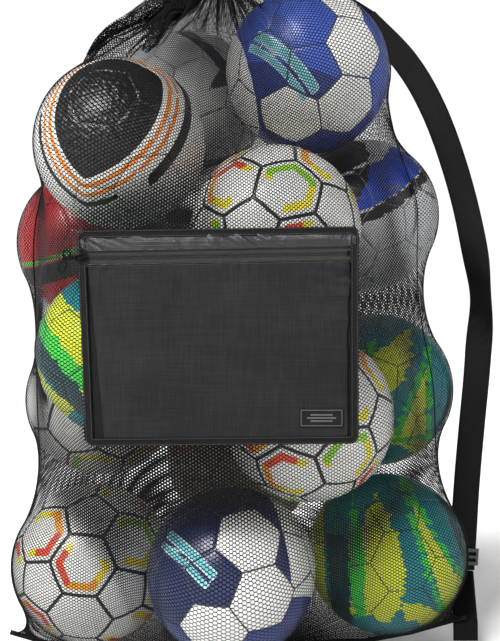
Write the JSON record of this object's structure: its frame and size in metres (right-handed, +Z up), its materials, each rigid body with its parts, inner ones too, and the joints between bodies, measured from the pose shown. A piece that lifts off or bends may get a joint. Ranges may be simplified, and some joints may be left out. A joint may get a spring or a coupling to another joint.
{
  "type": "mesh ball bag",
  "caption": "Tall drawstring net sack packed with sports balls, with a flat zipped front pocket and a long webbing shoulder strap down one side.",
  "frame": {"origin": "middle of the bottom of the overall box, where the filled bag stands", "axes": "+Z up, +X towards the shoulder strap's side, -Y the front with the zipped pocket"},
  "size_m": [0.6947, 0.4802, 0.956],
  "materials": {
    "net": "black open tricot mesh",
    "tape": "black woven tape",
    "cord": "black braided cord",
    "ripstop": "charcoal coated ripstop",
    "label": "moulded soft label",
    "coil": "nylon coil",
    "zip_metal": "glossy black enamel",
    "pull_metal": "dark nickel plate",
    "webbing": "black ribbed webbing",
    "buckle": "satin black acetal",
    "bladder": "matte butyl",
    "casing_blue": "stitched synthetic leather, blue and white",
    "casing_black": "synthetic leather, white with a black panel",
    "casing_white": "synthetic leather, white with black seams",
    "casing_red": "synthetic leather, red",
    "casing_teal": "synthetic leather, teal and yellow-green",
    "casing_grey": "synthetic leather, off-white and grey"
  },
  "bodies": {
    "root": {"ball_01": "casing_blue", "ball_02": "casing_black", "ball_03": "casing_white", "ball_04": "casing_blue", "ball_05": "casing_red", "ball_06": "casing_teal", "ball_07": "casing_white", "ball_08": "casing_white", "ball_09": "casing_blue", "ball_10": "casing_teal", "ball_11": "casing_teal", "ball_12": "casing_white", "ball_13": "casing_grey", "ball_14": "casing_grey", "ball_15": "casing_grey", "ball_bladders": "bladder", "ball_valves": "bladder", "binding_bottom": "tape", "binding_left": "tape", "binding_right": "tape", "binding_top": "tape", "corner_ear_left": "net", "corner_ear_right": "net", "drawcord_loop": "cord", "hem_eyelets": "pull_metal", "label_patch": "label", "mesh_back_gather": "net", "mesh_back_panel": "net", "mesh_front_gather": "net", "mesh_front_panel": "net", "neck_hem": "tape", "pocket_back": "ripstop", "pocket_header": "ripstop", "pocket_panel": "ripstop", "seam_tape_bottom": "tape", "seam_tape_left": "tape", "seam_tape_right": "tape", "strap_corner_tab": "webbing", "strap_upper_run": "webbing", "zip_coil_lower": "coil", "zip_coil_upper": "coil", "zip_stops": "zip_metal", "zip_tape_lower": "tape", "zip_tape_upper": "tape"},
    "slider": {"zip_slider": "zip_metal"},
    "pull": {"zip_pull_link": "pull_metal"},
    "grip": {"zip_pull_grip": "pull_metal"},
    "strap": {"shoulder_strap": "webbing"},
    "adjuster": {"strap_adjuster": "buckle"}
  },
  "joints": [
    {"name": "zip_travel", "type": "slide", "parent": "root", "child": "slider", "axis": [0.9998, 0, 0.0182], "range_m": [0, 0.302]},
    {"name": "pull_swing", "type": "hinge", "parent": "slider", "child": "pull", "pos_m": [-0.2033, -0.2385, 0.52809], "axis": [-0.0182, 0, 0.9998], "range_deg": [0, 140]},
    {"name": "grip_swing", "type": "hinge", "parent": "pull", "child": "grip", "pos_m": [-0.2153, -0.2385, 0.52788], "axis": [0, 1, 0], "range_deg": [-45, 45]},
    {"name": "strap_swing", "type": "hinge", "parent": "root", "child": "strap", "pos_m": [0.3015, 0.092, 0.092], "axis": [-0.1722, 0, 0.9851], "range_deg": [-45, 45]},
    {"name": "adjuster_slide", "type": "slide", "parent": "strap", "child": "adjuster", "axis": [0.0618, 0, 0.9981], "range_m": [0, 0.06]}
  ]
}
